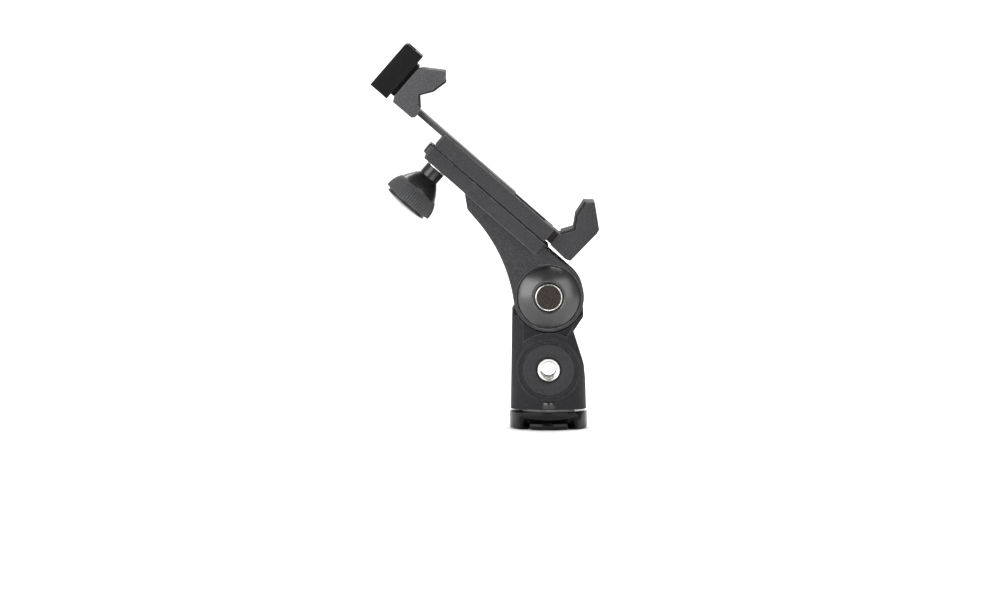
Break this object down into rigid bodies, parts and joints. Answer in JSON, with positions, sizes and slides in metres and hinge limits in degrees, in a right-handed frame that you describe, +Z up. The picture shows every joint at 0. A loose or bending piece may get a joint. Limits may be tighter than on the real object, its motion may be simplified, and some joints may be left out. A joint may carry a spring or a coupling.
{
  "type": "tilting phone clamp bracket",
  "caption": "Spring-free sliding phone clamp on a tilting, panning bracket with knob locks, an accessory shoe on the upper jaw and tripod threads in the foot and side.",
  "frame": {"origin": "where the base thread's axis leaves the underside of the foot", "axes": "+Z up the neck, +X towards the side the phone faces, Y along the tilt hinge, with the hinge knob on the +Y side"},
  "size_m": [0.0772, 0.0454, 0.1304],
  "materials": {
    "foot_black": "glossy moulded",
    "foot_rubber": "matte",
    "hub_steel": "turned",
    "spring_steel": "blued, satin",
    "washer_polymer": "matte",
    "neck_plastic": "fine moulded texture",
    "black_screw": "black oxide",
    "post_black": "glossy",
    "insert_steel": "bright turned",
    "pad_rubber": "grainy",
    "bracket_plastic": "fine moulded texture",
    "bolt_steel": "bright plated",
    "bolt_face": "grainy cast",
    "dome_plastic": "satin",
    "knob_plastic": "semi-gloss",
    "brass": "turned",
    "grip_rubber": "ribbed, matte",
    "rail_metal": "anodised, satin",
    "housing_plastic": "fine moulded texture",
    "jaw_plastic": "fine moulded texture",
    "spacer_plastic": "moulded, dark brown-black",
    "jaw_rubber": "matte",
    "slide_metal": "dark grey coated steel, satin",
    "shoe_black": "semi-gloss"
  },
  "bodies": {
    "foot": {"foot_disc": "foot_black", "foot_pads": "foot_rubber", "foot_lock_plate": "foot_black", "base_hub": "hub_steel", "hub_retaining_ring": "spring_steel", "pan_washer": "washer_polymer"},
    "neck": {"neck_front": "neck_plastic", "neck_rear": "neck_plastic", "neck_screws": "black_screw", "index_post": "post_black", "side_insert": "insert_steel", "side_pad": "pad_rubber"},
    "head": {"tilt_bracket": "bracket_plastic", "hinge_bolt": "bolt_steel", "hinge_bolt_face": "bolt_face", "hinge_dome": "dome_plastic", "friction_washers": "washer_polymer", "hinge_washer": "bolt_steel", "rail_plate": "rail_metal", "front_housing": "housing_plastic", "pressure_shoe": "bolt_steel", "cradle_screws": "black_screw", "lock_washer": "bolt_steel", "jaw_spacer": "spacer_plastic", "lower_jaw": "jaw_plastic", "lower_jaw_pad": "jaw_rubber", "lower_jaw_screws": "black_screw"},
    "hinge_knob": {"hinge_knob_body": "knob_plastic", "hinge_knob_insert": "brass", "hinge_knob_grip": "grip_rubber", "hinge_knob_cap": "knob_plastic"},
    "lock_knob": {"lock_screw": "bolt_steel", "lock_knob_body": "knob_plastic", "lock_knob_grip": "grip_rubber", "lock_knob_cap": "knob_plastic"},
    "slide": {"slide_arm": "slide_metal", "upper_jaw": "jaw_plastic", "upper_jaw_pad": "jaw_rubber", "arm_screws": "black_screw", "shoe_riser": "shoe_black", "cold_shoe": "shoe_black", "shoe_spring": "spring_steel", "shoe_screws": "bolt_steel"}
  },
  "joints": [
    {"name": "pan", "type": "hinge", "parent": "foot", "child": "neck", "pos_m": [0, 0, 0.01], "axis": [0, 0, 1], "continuous": true},
    {"name": "tilt", "type": "hinge", "parent": "neck", "child": "head", "pos_m": [0, 0, 0.0452], "axis": [0, 1, 0], "range_deg": [-13, 60]},
    {"name": "hinge_knob_turn", "type": "hinge", "parent": "head", "child": "hinge_knob", "pos_m": [0, 0.02, 0.0452], "axis": [0, 1, 0], "range_deg": [0, 540]},
    {"name": "lock_knob_turn", "type": "hinge", "parent": "head", "child": "lock_knob", "pos_m": [-0.04294, 0, 0.08253], "axis": [-0.6561, 0, -0.7547], "range_deg": [0, 540]},
    {"name": "jaw_slide", "type": "slide", "parent": "head", "child": "slide", "axis": [-0.7547, 0, 0.6561], "range_m": [-0.0108, 0.0215]}
  ]
}
